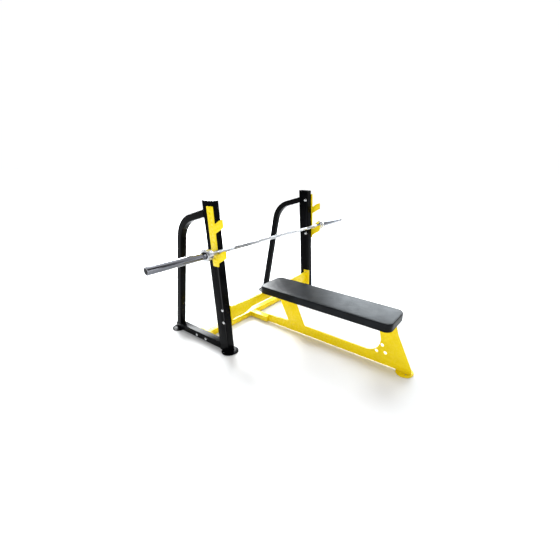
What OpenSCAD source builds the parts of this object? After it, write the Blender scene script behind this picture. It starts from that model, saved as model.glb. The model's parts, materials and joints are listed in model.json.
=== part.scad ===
// Olympic flat bench press: a bolted rack of leaning uprights with bar hooks,
// a plate-steel bench with one long pad, and a barbell with turning sleeves.
// Frame: X across the rack, along the barbell; Y from the foot end of the bench
// towards the head end and the rack; Z up from the floor. The origin is on the
// floor under the middle of the whole object.

/* [Overall] */
// Length on the floor, from the bench foot to the rear feet
overall_l = 2022; // [1950:2:2100]
// Width over the outer faces of the uprights
rack_w = 1160; // [1120:2:1180]
// Height of the uprights
rack_h = 1170; // [1160:5:1210]

/* [Uprights] */
// Depth of the upright tube, front to back
upright_d = 100; // [90:1:105]
// Width of the uprights and base rails, side to side
tube_w = 60; // [55:1:65]
// Wall thickness of the frame tubes
wall = 3; // [2:0.5:4]
// Backward lean of the uprights in degrees
upright_lean = 1.73; // [1:0.01:2.5]
// Distance from the floor centre to the front of the upright's foot
upright_y = 279; // [270:1:290]

/* [Rear tubes and base rails] */
// Depth of the bent rear tube
rear_tube_d = 50; // [45:1:55]
// Width of the bent rear tube, flush with the outer face of the upright
rear_tube_w = 50; // [45:1:55]
// Height of the base rails
rail_h = 55; // [50:1:60]
// Distance from the floor centre to the rear end of the rails
rail_end_y = 960; // [950:1:970]
// Place of the rear tube's knee, where its two straight stretches would meet
knee_y = 706; // [695:1:712]
// Height of the knee
knee_z = 992; // [980:1:1000]
// Bend radius on the tube's centre line
knee_r = 240; // [150:1:250]
// Fall of the upper stretch away from the upright, in degrees
arm_drop = 17; // [14:0.5:20]
// Lean of the lower stretch from the vertical, in degrees
leg_lean = 13; // [11:0.5:15]

/* [Hook plates] */
// Thickness of the hook plates
hook_t = 8; // [6:1:10]
// Width of the plate's upright strip
strip_w = 60; // [55:1:70]
// How far the strip stands in front of the upright
strip_front = 11; // [8:1:16]
// Height of the strip's lower end
strip_z0 = 718; // [700:1:730]
// Height of the strip's upper end
strip_z1 = 1138; // [1125:1:1145]
// Height of the lower hook's root
lower_hook_z = 745; // [740:1:750]
// Distance from the lower hook to the upper hook
hook_pitch = 212; // [200:1:220]
// Forward reach of a hook
hook_reach = 85; // [75:1:95]

/* [Cross members] */
// Height of the upper beam at its ends
beam_end_h = 110; // [100:1:120]
// Height of the upper beam in its middle
beam_mid_h = 73; // [65:1:80]
// Front-to-back depth of the upper beam
beam_d = 25; // [20:1:30]
// Height of the lower cross tube
cross_h = 50; // [45:1:55]
// Front-to-back depth of the lower cross tube
cross_d = 60; // [50:1:70]
// Distance from the floor centre to the middle of the lower cross tube
cross_y = 615; // [605:1:625]

/* [Bench] */
// Thickness of the bench plate
plate_t = 12; // [10:1:15]
// Height of the plate's long bar above the floor
bar_top_z = 90; // [85:1:105]
// Width of the pad
pad_w = 290; // [270:2:310]
// Length of the pad
pad_l = 1202; // [1180:2:1220]
// Thickness of the pad, board and cushion together
pad_t = 60; // [50:1:70]
// Height of the pad's underside
pad_z = 360; // [355:1:365]
// Distance from the floor centre to the pad's head end
pad_head_y = 352; // [340:1:360]

/* [Feet] */
// Radius of the round foot plates
foot_r = 66; // [60:1:75]
// Thickness of a foot plate
foot_t = 5; // [4:1:8]
// Thickness of the rubber under a foot plate
rubber_t = 2; // [2:1:5]

/* [Barbell] */
// Length of the barbell
bar_l = 2200; // [2180:5:2220]
// Radius of the bar's grip
bar_r = 14; // [12.5:0.5:15]
// Radius of the sleeves
sleeve_r = 25; // [24.5:0.1:25]
// Distance between the collars
grip_l = 1310; // [1300:5:1320]
// Radius of the collar's flange
flange_r = 43; // [40:1:45]

/* [Hidden] */

black = "#15161a";
yellow = "#e8cf1a";
steel = "#c6c8ca";
chrome = "#d8dadc";
bronze = "#b08040";

// Feet and floor levels
floor_gap = rubber_t + foot_t;
foot_y = overall_l / 2 - foot_r;
rubber_r = foot_r - 5;
front_foot_y = upright_y + 16;
upright_x = rack_w / 2 - tube_w / 2;
foot_x = rack_w / 2 - rear_tube_w / 2;
anchor_r = 7;
anchor_x = 46;
anchor_y = 22;
bench_anchor_x = 24;
bench_anchor_y = -18;

// Tube faces
outer_x = rack_w / 2;
inner_x = outer_x - tube_w;
rail_top = floor_gap + rail_h;
corner_r = 5;
cap_t = 3;
cap_plug = 15;
cap_gap = 0.2;

// Bolts of 12 mm through the frame tubes
bolt_r = 6;
hole_r = 6.5;
head_r = 11;
head_h = 6.5;
socket_r = 3.6;
washer_r = 12;
washer_t = 2;
nut_r = 10.4;
nut_h = 9;
nut_bore = 6.2;
tapped_r = 6.05;
dome_h = 6;
hook_bolt_t = -strip_front + strip_w / 2 + 4;
hook_bolt_z = [770, 1085];
beam_bolt_y = 27;
beam_bolt_z = [266, 370];
base_bolt_y = [cross_y - 57, cross_y + 57];
base_bolt_z = floor_gap + cross_h / 2;

// Upper beam and its end flanges
flange_t = 8;
flange_x = inner_x - flange_t;
beam_flange_h = 150;
beam_flange_d = 63;
beam_flange_z = 241;
beam_y = upright_y + 26;
beam_top = pad_z + 8;
beam_taper_x = 280;
beam_step_x = 360;
beam_wall = 3;
tube_flange_l = 150;
tube_flange_h = cross_h + 6;

// Bench plate, socket and brackets
socket_w = 60;
socket_end_y = upright_y + 107;
socket_plate_t = 6;
bracket_t = 8;
bracket_w = 100;
bracket_screw_x = 36;
screw_r = 4;
screw_l = 19;
screw_head_r = 7;
screw_head_h = 4.4;
plate_top = pad_z - bracket_t;
post_foot = [135, -38];
post_head = [267, 84];
leg_head = [-705, -843];
leg_inner_foot_y = -768;
leg_knee = [-866, 285];
toe = [-994, 35];
hole_spots = [[-754, 167], [-714, 103], [-784, 109]];
lightening_r = 14.5;

// Pad
pad_y = pad_head_y - pad_l / 2;
pad_corner_r = 55;
board_t = 15;
board_inset = 8;
board_gap = 0.3;

// Barbell: the bar lies in the V between the strip and the lower hook
rest_gap = 0.3;
hook_rise = [0, 49, 104, 92, 61];
hook_slope = atan2(hook_rise[3] - hook_rise[4], 50);
rest_r = bar_r + rest_gap;
rest_t = -strip_front - rest_r;
rest_s = lower_hook_z + hook_rise[4] + rest_r * (1 + sin(hook_slope)) / cos(hook_slope);
bar_y = upright_y + rest_t * cos(upright_lean) + rest_s * sin(upright_lean);
bar_z = rest_s * cos(upright_lean) - rest_t * sin(upright_lean);
grip_end = grip_l / 2;
spigot_r = 12;
spigot_end = bar_l / 2 - 28;
ring_x = spigot_end - 8;
ring_t = 2.5;
ring_groove = 1;
ring_r = 15.5;
bore_r = 18;
bush_l = 36;
running_gap = 0.05;
press_gap = 0.02;
hub_r = 36;
hub_l = 24;
collar_l = 52;
seat_r = sleeve_r - 1;
relief_l = 2;
lip_t = 3;
lip_r = 15;
cap_l = 12;
cap_recess = 2;

function unit(v) = v / norm(v);

// Points of the arc of radius r that rounds the corner b between a and c, more on a larger arc
function fillet(a, b, c, r) =
    let (
        n = ceil(3 * sqrt(r)),
        u = unit(a - b),
        w = unit(c - b),
        half = acos(u * w) / 2,
        p = b + u * r / tan(half),
        q = b + w * r / tan(half),
        m = b + unit(u + w) * r / sin(half),
        start = atan2(p.y - m.y, p.x - m.x),
        turn = atan2(q.y - m.y, q.x - m.x) - start,
        sweep = turn > 180 ? turn - 360 : turn < -180 ? turn + 360 : turn
    )
    [for (i = [0:n]) m + r * [cos(start + sweep * i / n), sin(start + sweep * i / n)]];

// Outline from corners given as [x, y, radius]; a radius of 0 keeps the corner sharp
function rounded(corners) =
    let (last = len(corners) - 1, at = [for (c = corners) [c.x, c.y]])
    [for (i = [0:last])
        each corners[i][2] == 0
            ? [at[i]]
            : fillet(at[i == 0 ? last : i - 1], at[i], at[i == last ? 0 : i + 1], corners[i][2])];

module rounded_rect(w, h, r) {
    square([w - 2 * r, h], center = true);
    square([w, h - 2 * r], center = true);
    for (x = [-1, 1], y = [-1, 1]) {
        translate([x * (w / 2 - r), y * (h / 2 - r)]) circle(r, $fn = 24);
    }
}

module tube_section(w, h) {
    difference() {
        rounded_rect(w, h, corner_r);
        rounded_rect(w - 2 * wall, h - 2 * wall, corner_r - wall + 0.5);
    }
}

// Extrudes a Y-Z outline along X, from x0 to x1
module yz_plate(x0, x1) {
    translate([x0, 0, 0]) rotate([90, 0, 90]) linear_extrude(x1 - x0) children();
}

// Puts its children on the right or, mirrored, on the left side
module side(s) {
    if (s == "right") children();
    else mirror([1, 0, 0]) children();
}

module both_sides() {
    for (s = ["left", "right"]) side(s) children();
}

// The frame of a right upright: origin on the floor at its front face
module upright_frame() {
    translate([0, upright_y, 0]) rotate([-upright_lean, 0, 0]) children();
}

// The space an upright takes, and all in front of it, cut from the tubes that end on its back
module upright_space() {
    upright_frame() translate([inner_x - 1, -500, -60]) cube([tube_w + 2, upright_d + 500, rack_h + 200]);
}

// Keeps only what lies between two heights
module between_heights(z0, z1) {
    intersection() {
        children();
        translate([-bar_l, -bar_l, z0]) cube([2 * bar_l, 2 * bar_l, z1 - z0]);
    }
}

// A hole or shank along X at height z
module x_rod(x0, x1, y, z, r) {
    translate([x0, y, z]) rotate([0, 90, 0]) cylinder(h = x1 - x0, r = r, $fn = 32);
}

module hook_bolt_holes() {
    upright_frame() for (z = hook_bolt_z) x_rod(inner_x - 20, outer_x + 20, hook_bolt_t, z, hole_r);
}

module beam_bolt_holes(r) {
    for (z = beam_bolt_z) x_rod(flange_x - 20, outer_x + 20, upright_y + beam_bolt_y, z, r);
}

module base_bolt_holes() {
    for (y = base_bolt_y) x_rod(flange_x - 20, outer_x + 20, y, base_bolt_z, hole_r);
}

// Uprights, rear tubes and base rails

module upright(s) {
    color(black) side(s) difference() {
        between_heights(floor_gap, rack_h - cap_t)
            upright_frame()
            translate([upright_x, upright_d / 2, -60])
            linear_extrude(rack_h + 200)
            tube_section(tube_w, upright_d);
        hook_bolt_holes();
        beam_bolt_holes(hole_r);
    }
}

module upright_cap(s) {
    top_y = upright_y + rack_h * sin(upright_lean) + upright_d / 2;
    color(black) side(s) translate([upright_x, top_y, rack_h - cap_t]) {
        linear_extrude(cap_t) rounded_rect(tube_w, upright_d, corner_r);
        translate([0, 0, -cap_plug])
            linear_extrude(cap_plug)
            rounded_rect(tube_w - 2 * wall - 2 * cap_gap, upright_d - 2 * wall - 8 * cap_gap, 2);
    }
}

knee_angle = 90 - arm_drop - leg_lean;
knee_mid = leg_lean + knee_angle / 2;
arm_end = 500 * [-cos(arm_drop), sin(arm_drop)];
leg_end = 1100 * [sin(leg_lean), -cos(leg_lean)];

// Where the two straight stretches meet, at a distance d outside the centre line
function knee(d) = [knee_y, knee_z] + d / cos(knee_angle / 2) * [cos(knee_mid), sin(knee_mid)];

// Side outline of the bent tube, h to either side of its centre line
function bent_outline(h) =
    let (
        arm_out = knee(h) + arm_end,
        arm_in = knee(-h) + arm_end,
        leg_out = knee(h) + leg_end,
        leg_in = knee(-h) + leg_end
    )
    rounded([
        [arm_out.x, arm_out.y, 0],
        [knee(h).x, knee(h).y, knee_r + h],
        [leg_out.x, leg_out.y, 0],
        [leg_in.x, leg_in.y, 0],
        [knee(-h).x, knee(-h).y, knee_r - h],
        [arm_in.x, arm_in.y, 0]
    ]);

module rear_tube(s) {
    color(black) side(s) difference() {
        between_heights(rail_top, rack_h)
            yz_plate(outer_x - rear_tube_w, outer_x)
            polygon(bent_outline(rear_tube_d / 2));
        yz_plate(outer_x - rear_tube_w + wall, outer_x - wall) polygon(bent_outline(rear_tube_d / 2 - wall));
        upright_space();
    }
}

module base_rail(s) {
    color(black) side(s) difference() {
        translate([upright_x, upright_y, floor_gap + rail_h / 2])
            rotate([-90, 0, 0])
            linear_extrude(rail_end_y - cap_t - upright_y)
            tube_section(tube_w, rail_h);
        upright_space();
        base_bolt_holes();
    }
}

module rail_cap(s) {
    color(black) side(s) translate([upright_x, rail_end_y, floor_gap + rail_h / 2]) rotate([90, 0, 0]) {
        linear_extrude(cap_t) rounded_rect(tube_w, rail_h, corner_r);
        linear_extrude(cap_t + cap_plug)
            rounded_rect(tube_w - 2 * wall - 2 * cap_gap, rail_h - 2 * wall - 2 * cap_gap, 2);
    }
}

// Round feet with anchor holes, each on a rubber disc with the same holes

module foot_disc(z0, t, r, spots) {
    difference() {
        translate([0, 0, z0]) cylinder(h = t, r = r, $fn = 96);
        for (p = spots) translate([p.x, p.y, z0 - 1]) cylinder(h = t + 2, r = anchor_r, $fn = 32);
    }
}

function anchor_spots(dy) = [for (x = [-anchor_x, anchor_x]) [x, dy]];
bench_anchors = [for (x = [-bench_anchor_x, bench_anchor_x]) [x, bench_anchor_y]];

module front_foot(s) {
    color(black) side(s) translate([foot_x, front_foot_y, 0])
        foot_disc(rubber_t, foot_t, foot_r, anchor_spots(anchor_y));
}

module front_rubber(s) {
    color("#101010") side(s) translate([foot_x, front_foot_y, 0])
        foot_disc(0, rubber_t, rubber_r, anchor_spots(anchor_y));
}

module rear_foot(s) {
    color(black) side(s) translate([foot_x, foot_y, 0])
        foot_disc(rubber_t, foot_t, foot_r, anchor_spots(-anchor_y));
}

module rear_rubber(s) {
    color("#101010") side(s) translate([foot_x, foot_y, 0])
        foot_disc(0, rubber_t, rubber_r, anchor_spots(-anchor_y));
}

module bench_foot() {
    color(yellow) translate([0, -foot_y, 0]) foot_disc(rubber_t, foot_t, foot_r, bench_anchors);
}

module bench_rubber() {
    color("#101010") translate([0, -foot_y, 0]) foot_disc(0, rubber_t, rubber_r, bench_anchors);
}

// Hook plates: a flat strip on the outside of each upright with two hooks

// Corners of a hook with its root at height z, from its lower to its upper edge
function hook_corners(z) = [
    [-strip_front, z + hook_rise[0], 0],
    [-strip_front - hook_reach, z + hook_rise[1], 5],
    [-strip_front - hook_reach, z + hook_rise[2], 5],
    [-strip_front - 50, z + hook_rise[3], 30],
    [-strip_front, z + hook_rise[4], 6]
];

module hook_plate(s) {
    color(yellow) side(s) difference() {
        upright_frame() yz_plate(outer_x, outer_x + hook_t) polygon(rounded(concat(
            [[strip_w - strip_front, strip_z0, 4], [-strip_front + 6, strip_z0, 4]],
            hook_corners(lower_hook_z),
            hook_corners(lower_hook_z + hook_pitch),
            [[-strip_front, strip_z1, 4], [strip_w - strip_front, strip_z1, 4]]
        )));
        hook_bolt_holes();
    }
}

// Fasteners, each drawn along X with its head or nut facing away from x = 0

// Round domed head with a hexagon socket, standing on the plane x
module dome_head(x, y, z) {
    dome = [for (a = [0:10:90]) [head_r * cos(a), 1.5 + (head_h - 1.5) * sin(a)]];
    translate([x, y, z]) rotate([0, 90, 0]) difference() {
        rotate_extrude($fn = 48) polygon(concat([[0, 0], [head_r, 0]], dome));
        translate([0, 0, head_h - 3.5]) cylinder(h = 5, r = socket_r, $fn = 6);
    }
}

module bolt(x_head, x_end, y, z) {
    dome_head(x_head, y, z);
    x_rod(x_end, x_head + 1, y, z, bolt_r);
}

module washer(x0, y, z) {
    difference() {
        x_rod(x0, x0 + washer_t, y, z, washer_r);
        x_rod(x0 - 1, x0 + washer_t + 1, y, z, hole_r);
    }
}

module hex_nut(x0, y, z) {
    difference() {
        translate([x0, y, z]) rotate([0, 90, 0]) cylinder(h = nut_h, r = nut_r, $fn = 6);
        x_rod(x0 - 1, x0 + nut_h + 1, y, z, nut_bore);
    }
}

// Closed nut whose dome points towards the middle of the rack
module cap_nut(x1, y, z) {
    dome = [for (a = [0:15:90]) [8.5 * cos(a), nut_h + dome_h * sin(a)]];
    translate([x1, y, z]) rotate([0, -90, 0]) difference() {
        union() {
            cylinder(h = nut_h, r = nut_r, $fn = 6);
            rotate_extrude($fn = 48) polygon(concat([[0, nut_h - 1], [8.5, nut_h - 1]], dome));
        }
        translate([0, 0, -1]) cylinder(h = nut_h + 1, r = nut_bore, $fn = 32);
    }
}

hook_nut_x = inner_x - washer_t;
hook_bolt_end = hook_nut_x - nut_h + 1;
base_nut_x = flange_x - washer_t;
base_bolt_end = base_nut_x - nut_h - 3;
beam_bolt_end = flange_x + 1;

module hook_bolts() {
    color(yellow) both_sides() upright_frame() for (z = hook_bolt_z)
        bolt(outer_x + hook_t, hook_bolt_end, hook_bolt_t, z);
}

module hook_washers() {
    color(steel) both_sides() upright_frame() for (z = hook_bolt_z) washer(hook_nut_x, hook_bolt_t, z);
}

module hook_nuts() {
    color(steel) both_sides() upright_frame() for (z = hook_bolt_z) cap_nut(hook_nut_x, hook_bolt_t, z);
}

module beam_bolts() {
    color(steel) both_sides() for (z = beam_bolt_z)
        bolt(outer_x + washer_t, beam_bolt_end, upright_y + beam_bolt_y, z);
}

module beam_washers() {
    color(steel) both_sides() for (z = beam_bolt_z) washer(outer_x, upright_y + beam_bolt_y, z);
}

module base_bolts() {
    color(steel) both_sides() for (y = base_bolt_y) bolt(outer_x + washer_t, base_bolt_end, y, base_bolt_z);
}

module base_washers() {
    color(steel) both_sides() for (y = base_bolt_y, x = [outer_x, base_nut_x]) washer(x, y, base_bolt_z);
}

module base_nuts() {
    color(steel) both_sides() for (y = base_bolt_y) hex_nut(base_nut_x - nut_h, y, base_bolt_z);
}

// Upper beam: a box section, deeper at its ends, between two flanges with tapped holes.
// The bolts come through the uprights and end inside the flanges.

// Front outline of the beam, inset by d from its top and bottom
module beam_outline(d) {
    right_half = [
        [beam_taper_x - d, pad_z - beam_mid_h + d],
        [beam_step_x - d, beam_top - beam_end_h + d],
        [flange_x, beam_top - beam_end_h + d],
        [flange_x, beam_top - d],
        [beam_taper_x, pad_z - d]
    ];
    polygon(concat(right_half, [for (i = [4:-1:0]) [-right_half[i].x, right_half[i].y]]));
}

module upper_beam() {
    color(yellow) translate([0, beam_y + beam_d, 0]) rotate([90, 0, 0]) difference() {
        linear_extrude(beam_d) beam_outline(0);
        translate([0, 0, beam_wall]) linear_extrude(beam_d - 2 * beam_wall) beam_outline(beam_wall);
    }
}

module beam_flange(s) {
    color(yellow) side(s) difference() {
        translate([flange_x, upright_y + 1, beam_flange_z]) cube([flange_t, beam_flange_d, beam_flange_h]);
        beam_bolt_holes(tapped_r);
    }
}

// Lower cross tube, its flanges and the socket that holds the bench plate

module lower_cross_tube() {
    color(yellow) translate([-flange_x, cross_y, floor_gap + cross_h / 2])
        rotate([90, 0, 90])
        linear_extrude(2 * flange_x)
        tube_section(cross_d, cross_h);
}

module tube_flange(s) {
    color(yellow) side(s) difference() {
        translate([flange_x, cross_y - tube_flange_l / 2, floor_gap])
            cube([flange_t, tube_flange_l, tube_flange_h]);
        base_bolt_holes();
    }
}

module spine_socket() {
    color(yellow) translate([0, cross_y - cross_d / 2, floor_gap + cross_h / 2])
        rotate([90, 0, 0])
        linear_extrude(cross_y - cross_d / 2 - socket_end_y)
        tube_section(socket_w, cross_h);
}

module spine_socket_plate() {
    color(yellow) translate([-socket_w / 2, socket_end_y - socket_plate_t, floor_gap])
        cube([socket_w, socket_plate_t, cross_h]);
}

module bench_plate() {
    rear_y = socket_end_y - socket_plate_t;
    outline = rounded([
        [rear_y, floor_gap, 0],
        [rear_y, bar_top_z - 10, 12],
        [post_foot[0], bar_top_z + 2, 5],
        [post_head[0], plate_top, 0],
        [post_head[1], plate_top, 0],
        [post_foot[1], bar_top_z, 14],
        [leg_inner_foot_y, bar_top_z, 112],
        [leg_head[0], plate_top, 0],
        [leg_head[1], plate_top, 0],
        [leg_knee.x, leg_knee.y, 60],
        [toe.x, toe.y, 8],
        [toe.x, floor_gap, 0]
    ]);
    color(yellow) difference() {
        yz_plate(-plate_t / 2, plate_t / 2) polygon(outline);
        for (p = hole_spots) x_rod(-plate_t, plate_t, p.x, p.y, lightening_r);
    }
}

// Pad brackets, board, cushion and screws

function bracket_screws(y0, y1) = [for (x = [-1, 1], y = [y0 + 28, y1 - 28]) [x * bracket_screw_x, y]];
rear_screws = bracket_screws(post_head[1], post_head[0]);
front_screws = bracket_screws(leg_head[1], leg_head[0]);

module pad_bracket(y0, y1, screws) {
    color(yellow) difference() {
        translate([0, (y0 + y1) / 2, plate_top]) linear_extrude(bracket_t) rounded_rect(bracket_w, y1 - y0, 8);
        for (p = screws) translate([p.x, p.y, plate_top - 1]) cylinder(h = bracket_t + 2, r = screw_r + 0.5, $fn = 32);
    }
}

module rear_pad_bracket() {
    pad_bracket(post_head[1], post_head[0], rear_screws);
}

module front_pad_bracket() {
    pad_bracket(leg_head[1], leg_head[0], front_screws);
}

module pad_board() {
    color("#b08a5a") difference() {
        translate([0, pad_y, pad_z]) linear_extrude(board_t)
            rounded_rect(pad_w - 2 * board_inset, pad_l - 2 * board_inset, pad_corner_r - board_inset);
        for (p = concat(rear_screws, front_screws))
            translate([p.x, p.y, pad_z - 1]) cylinder(h = 13, r = screw_r + 0.1, $fn = 32);
    }
}

module pad_cushion() {
    inset = board_inset - board_gap;
    color("#202226") difference() {
        translate([0, pad_y, pad_z]) linear_extrude(pad_t) rounded_rect(pad_w, pad_l, pad_corner_r);
        translate([0, pad_y, pad_z - 1]) linear_extrude(board_t + board_gap + 1)
            rounded_rect(pad_w - 2 * inset, pad_l - 2 * inset, pad_corner_r - inset);
    }
}

module pad_screws() {
    color(steel) for (p = concat(rear_screws, front_screws)) translate([p.x, p.y, plate_top]) {
        cylinder(h = screw_l, r = screw_r, $fn = 32);
        difference() {
            translate([0, 0, -screw_head_h]) cylinder(h = screw_head_h, r = screw_head_r, $fn = 32);
            translate([0, 0, -screw_head_h - 1]) cylinder(h = 3.5, r = 2.9, $fn = 6);
        }
    }
}

// Barbell, drawn along X about its own axis and then laid on the lower hooks

module on_bar(s = "right") {
    side(s) translate([0, bar_y, bar_z]) rotate([0, 90, 0]) children();
}

module ring(x0, x1, r_in, r_out) {
    difference() {
        translate([0, 0, x0]) cylinder(h = x1 - x0, r = r_out, $fn = 96);
        translate([0, 0, x0 - 1]) cylinder(h = x1 - x0 + 2, r = r_in, $fn = 96);
    }
}

module bar_shaft() {
    color(chrome) {
        on_bar() translate([0, 0, -grip_end]) cylinder(h = grip_l, r = bar_r, $fn = 96);
        both_sides() on_bar() difference() {
            translate([0, 0, grip_end - 1]) cylinder(h = spigot_end - grip_end + 1, r = spigot_r, $fn = 96);
            ring(ring_x, ring_x + ring_t, spigot_r - ring_groove, spigot_r + 1);
        }
    }
}

module sleeve_retaining_rings() {
    color(steel) both_sides() on_bar()
        ring(ring_x + 0.1, ring_x + ring_t - 0.1, spigot_r - ring_groove + 0.1, ring_r);
}

module sleeve(s) {
    color(chrome) on_bar(s) {
        ring(grip_end + lip_t, grip_end + collar_l + relief_l + 0.01, bore_r, seat_r);
        ring(grip_end + collar_l + relief_l, bar_l / 2, bore_r, sleeve_r);
    }
}

module collar(s) {
    color(chrome) on_bar(s) {
        ring(grip_end, grip_end + lip_t, lip_r, hub_r);
        ring(grip_end + lip_t, grip_end + hub_l, seat_r + press_gap, hub_r);
        ring(grip_end + hub_l, grip_end + collar_l, seat_r + press_gap, flange_r);
    }
}

module bush(s, x0) {
    color(bronze) on_bar(s) ring(x0, x0 + bush_l, spigot_r + running_gap, bore_r - press_gap);
}

module end_cap(s) {
    color("#3a3b3e") on_bar(s) difference() {
        translate([0, 0, bar_l / 2 - cap_recess - cap_l]) cylinder(h = cap_l, r = bore_r - press_gap, $fn = 96);
        translate([0, 0, bar_l / 2 - cap_recess - 5]) cylinder(h = 6, r = 5, $fn = 32);
    }
}

inner_bush_x = grip_end + lip_t + 5;
outer_bush_x = ring_x - bush_l - 1;

upright("left");  // left_upright
upright("right");  // right_upright
upright_cap("left");  // left_upright_cap
upright_cap("right");  // right_upright_cap
rear_tube("left");  // left_rear_tube
rear_tube("right");  // right_rear_tube
base_rail("left");  // left_base_rail
base_rail("right");  // right_base_rail
rail_cap("left");  // left_rail_cap
rail_cap("right");  // right_rail_cap
front_foot("left");  // left_front_foot
front_foot("right");  // right_front_foot
rear_foot("left");  // left_rear_foot
rear_foot("right");  // right_rear_foot
bench_foot();
front_rubber("left");  // left_front_rubber
front_rubber("right");  // right_front_rubber
rear_rubber("left");  // left_rear_rubber
rear_rubber("right");  // right_rear_rubber
bench_rubber();
hook_plate("left");  // left_hook_plate
hook_plate("right");  // right_hook_plate
hook_bolts();
hook_washers();
hook_nuts();
upper_beam();
beam_flange("left");  // left_beam_flange
beam_flange("right");  // right_beam_flange
beam_bolts();
beam_washers();
lower_cross_tube();
tube_flange("left");  // left_tube_flange
tube_flange("right");  // right_tube_flange
base_bolts();
base_washers();
base_nuts();
spine_socket();
spine_socket_plate();
bench_plate();
rear_pad_bracket();
front_pad_bracket();
pad_board();
pad_cushion();
pad_screws();
bar_shaft();
sleeve_retaining_rings();
sleeve("left");  // left_sleeve
collar("left");  // left_collar
bush("left", inner_bush_x);  // left_inner_bush
bush("left", outer_bush_x);  // left_outer_bush
end_cap("left");  // left_end_cap
sleeve("right");  // right_sleeve
collar("right");  // right_collar
bush("right", inner_bush_x);  // right_inner_bush
bush("right", outer_bush_x);  // right_outer_bush
end_cap("right");  // right_end_cap
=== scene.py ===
import json
import math

import bmesh
import bpy
from mathutils import Matrix, Vector, noise
from mathutils.bvhtree import BVHTree


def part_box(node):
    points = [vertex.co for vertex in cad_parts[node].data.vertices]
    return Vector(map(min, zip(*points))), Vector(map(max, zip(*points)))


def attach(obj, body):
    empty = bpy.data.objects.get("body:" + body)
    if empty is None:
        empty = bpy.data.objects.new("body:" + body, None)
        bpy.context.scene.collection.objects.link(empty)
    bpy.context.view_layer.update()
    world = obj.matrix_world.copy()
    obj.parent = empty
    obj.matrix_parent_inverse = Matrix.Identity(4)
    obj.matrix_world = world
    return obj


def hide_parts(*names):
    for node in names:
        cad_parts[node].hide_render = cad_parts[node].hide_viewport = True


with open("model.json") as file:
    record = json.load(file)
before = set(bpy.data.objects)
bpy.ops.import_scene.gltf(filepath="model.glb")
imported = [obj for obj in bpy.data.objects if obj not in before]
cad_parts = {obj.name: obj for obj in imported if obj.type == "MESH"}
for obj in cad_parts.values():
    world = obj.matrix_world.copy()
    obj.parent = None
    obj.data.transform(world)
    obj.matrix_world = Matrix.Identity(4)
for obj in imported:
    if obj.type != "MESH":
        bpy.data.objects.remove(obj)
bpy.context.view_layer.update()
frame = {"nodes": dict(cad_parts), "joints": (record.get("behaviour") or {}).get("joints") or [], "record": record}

# An olympic flat bench press. Everything is in metres in the CAD frame: X along the barbell,
# Y from the foot end of the bench towards the rack, Z up from the floor.

MM = 0.001
SCENE = bpy.context.scene
FRAME = "frame"
BARBELL = "barbell"

# Sizes that the CAD model shares with the pieces made here
TUBE_CORNER = 5 * MM
BRACE_DEPTH = 50 * MM
BRACE_KNEE = Vector((0.706, 0.992))
BRACE_RADIUS = 240 * MM
BRACE_ARM_DROP = math.radians(17)
BRACE_LEG_LEAN = math.radians(13)
UPRIGHT_LEAN = math.radians(1.73)
UPRIGHT_FOOT_Y = 0.279
UPRIGHT_DEPTH = 100 * MM

# Place of the barbell's axis, from the joint that its sleeve turns on
BAR = next(j for j in frame["joints"] if j["name"] == "right_sleeve_spin")["pos_m"]
BAR_Y = BAR[1]
BAR_Z = BAR[2]


# ---------------------------------------------------------------- materials

# Strength of the world's light on its dark side and its bright side, and the way to the bright one
SKY_NEAR = 0.06
SKY_FAR = 1.02
SKY_BRIGHT_WAY = (0.835, 0.55, 0.0)

# Places of the knurled bands and the ring mark, from the middle of the bar
KNURL_MIDDLE = 60 * MM
KNURL_START = 200 * MM
KNURL_END = 640 * MM
RING_MARK = 455 * MM
# Knurl waves, in radians for each metre along the bar and for each radian round it
KNURL_ALONG = 4300.0
KNURL_AROUND = 60.0

# How far from the bar's axis the hooks are rubbed to bare steel, and how ragged that edge is
RUB_FULL = 15 * MM
RUB_END = 17.5 * MM
RUB_RAGGED = 4 * MM

BLACK = (0.001, 0.0011, 0.0014)
BLACK_DEEP = (0.002, 0.0022, 0.0028)
YELLOW = (0.85, 0.645, 0.006)
YELLOW_DEEP = (0.8, 0.6, 0.006)
CHROME = (0.5, 0.507, 0.52)
# The sleeves' chrome is painted darker than the shaft's: painted shade that stands for the dark surroundings the
# sleeves reflect.
SLEEVE_SHADED_CHROME = (0.19, 0.195, 0.215)
VINYL = (0.006, 0.0072, 0.009)


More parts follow.
